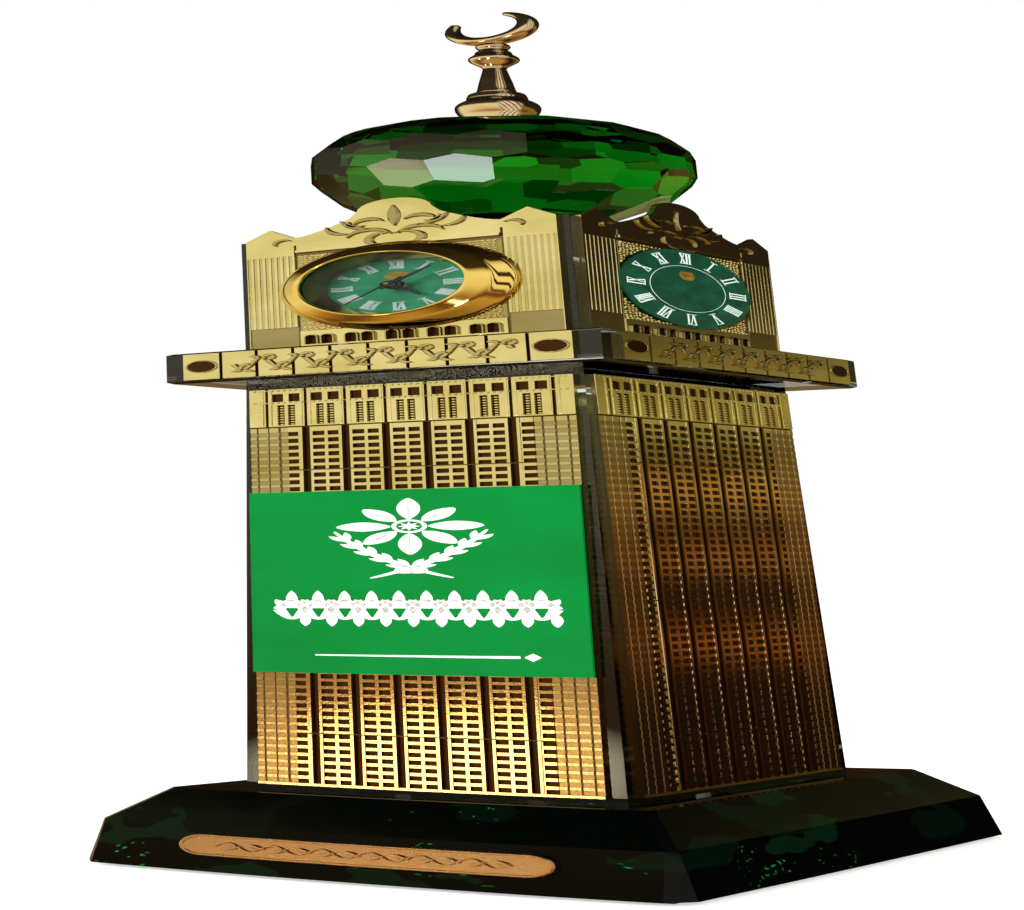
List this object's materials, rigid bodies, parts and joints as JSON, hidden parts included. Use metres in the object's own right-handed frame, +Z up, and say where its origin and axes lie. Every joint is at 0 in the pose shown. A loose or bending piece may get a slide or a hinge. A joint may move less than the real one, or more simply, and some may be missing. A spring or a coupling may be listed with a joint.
{
  "type": "miniature clock tower model",
  "caption": "Crystal souvenir clock tower with etched gold-plated panels, a push-in miniature clock, printed dials, a faceted green ball and a crescent finial.",
  "frame": {"origin": "centre of the underside of the base", "axes": "+Z up the tower, -Y towards the front with the real clock and the nameplate, +X to the right seen from the front"},
  "size_m": [0.0622, 0.0623, 0.2673],
  "materials": {
    "green_glass": "polished dark green glass",
    "clear_glass": "polished clear glass",
    "green_crystal": "cut and polished green crystal",
    "felt": "black felt",
    "gold_plate": "gold-plated etched brass",
    "gold_polished": "polished gold plating",
    "green_enamel": "printed enamel",
    "green_print": "printed dial",
    "clock_dial": "printed dial",
    "lens_acrylic": "clear acrylic",
    "black_plastic": "moulded",
    "black_rubber": "moulded",
    "black_hands": "black lacquer",
    "steel": "plated steel",
    "wheel_brass": "stamped brass",
    "white_plastic": "moulded acetal",
    "board_green": "circuit board",
    "copper": "enamelled copper wire"
  },
  "bodies": {
    "tower": {"base_block": "green_glass", "base_pad": "felt", "nameplate": "gold_plate", "shaft_core": "clear_glass", "banner_panel": "green_enamel", "cornice_slab": "clear_glass", "clock_block": "clear_glass", "ball_seat": "clear_glass", "crystal_ball": "green_crystal", "finial_base": "gold_polished", "finial_stud": "steel", "finial_spire": "gold_polished", "crescent": "gold_polished", "shaft_plate_front": "gold_plate", "cornice_strip_front": "gold_plate", "clock_plate_front": "gold_plate", "shaft_plate_right": "gold_plate", "cornice_strip_right": "gold_plate", "clock_plate_right": "gold_plate", "printed_dial_right": "green_print", "shaft_plate_back": "gold_plate", "cornice_strip_back": "gold_plate", "clock_plate_back": "gold_plate", "printed_dial_back": "green_print", "shaft_plate_left": "gold_plate", "cornice_strip_left": "gold_plate", "clock_plate_left": "gold_plate", "printed_dial_left": "green_print"},
    "clock_insert": {"insert_bezel": "gold_polished", "insert_lens": "lens_acrylic", "insert_ring": "gold_polished", "insert_dial": "clock_dial", "insert_case": "black_plastic", "grip_ring": "black_rubber", "case_cover": "black_plastic", "battery": "steel", "battery_contact": "steel", "circuit_board": "board_green", "coil": "copper", "stator": "steel", "train_bridge": "black_plastic"},
    "second_arbor": {"second_wheel": "wheel_brass", "second_hand": "black_hands"},
    "third_arbor": {"third_wheel": "white_plastic"},
    "fifth_arbor": {"fifth_wheel": "white_plastic"},
    "rotor_arbor": {"rotor": "steel"},
    "centre_arbor": {"centre_wheel": "white_plastic"},
    "minute_arbor": {"cannon_pinion": "wheel_brass", "minute_hand": "black_hands"},
    "motion_arbor": {"motion_wheel": "white_plastic"},
    "hour_arbor": {"hour_wheel": "wheel_brass", "hour_hand": "black_hands"},
    "setting_stem": {"setting_knob": "black_plastic"}
  },
  "joints": [
    {"name": "insert_pull", "type": "slide", "parent": "tower", "child": "clock_insert", "axis": [0, -1, 0], "range_m": [0, 0.016]},
    {"name": "second_turn", "type": "hinge", "parent": "clock_insert", "child": "second_arbor", "pos_m": [0, -0.01955, 0.1682], "axis": [0, 1, 0], "continuous": true},
    {"name": "third_turn", "type": "hinge", "parent": "clock_insert", "child": "third_arbor", "pos_m": [-0.00432, -0.01955, 0.16663], "axis": [0, 1, 0], "continuous": true},
    {"name": "fifth_turn", "type": "hinge", "parent": "clock_insert", "child": "fifth_arbor", "pos_m": [-0.0008, -0.01955, 0.17273], "axis": [0, 1, 0], "continuous": true},
    {"name": "rotor_turn", "type": "hinge", "parent": "clock_insert", "child": "rotor_arbor", "pos_m": [0.00142, -0.01955, 0.17459], "axis": [0, 1, 0], "continuous": true},
    {"name": "centre_turn", "type": "hinge", "parent": "clock_insert", "child": "centre_arbor", "pos_m": [0, -0.01955, 0.1682], "axis": [0, 1, 0], "continuous": true},
    {"name": "minute_turn", "type": "hinge", "parent": "clock_insert", "child": "minute_arbor", "pos_m": [0, -0.01955, 0.1682], "axis": [0, 1, 0], "continuous": true},
    {"name": "motion_turn", "type": "hinge", "parent": "clock_insert", "child": "motion_arbor", "pos_m": [0.00262, -0.01955, 0.16636], "axis": [0, 1, 0], "continuous": true},
    {"name": "hour_turn", "type": "hinge", "parent": "clock_insert", "child": "hour_arbor", "pos_m": [0, -0.01955, 0.1682], "axis": [0, 1, 0], "continuous": true},
    {"name": "setting_turn", "type": "hinge", "parent": "clock_insert", "child": "setting_stem", "pos_m": [0.00422, -0.01955, 0.16359], "axis": [0, 1, 0], "continuous": true}
  ],
  "couplings": [
    {"joint": "third_turn", "follows": "second_turn", "ratio": -0.13333},
    {"joint": "fifth_turn", "follows": "second_turn", "ratio": -6},
    {"joint": "rotor_turn", "follows": "second_turn", "ratio": 30},
    {"joint": "centre_turn", "follows": "second_turn", "ratio": 0.016667},
    {"joint": "motion_turn", "follows": "minute_turn", "ratio": -0.33333},
    {"joint": "hour_turn", "follows": "minute_turn", "ratio": 0.083333},
    {"joint": "setting_turn", "follows": "minute_turn", "ratio": 1}
  ]
}
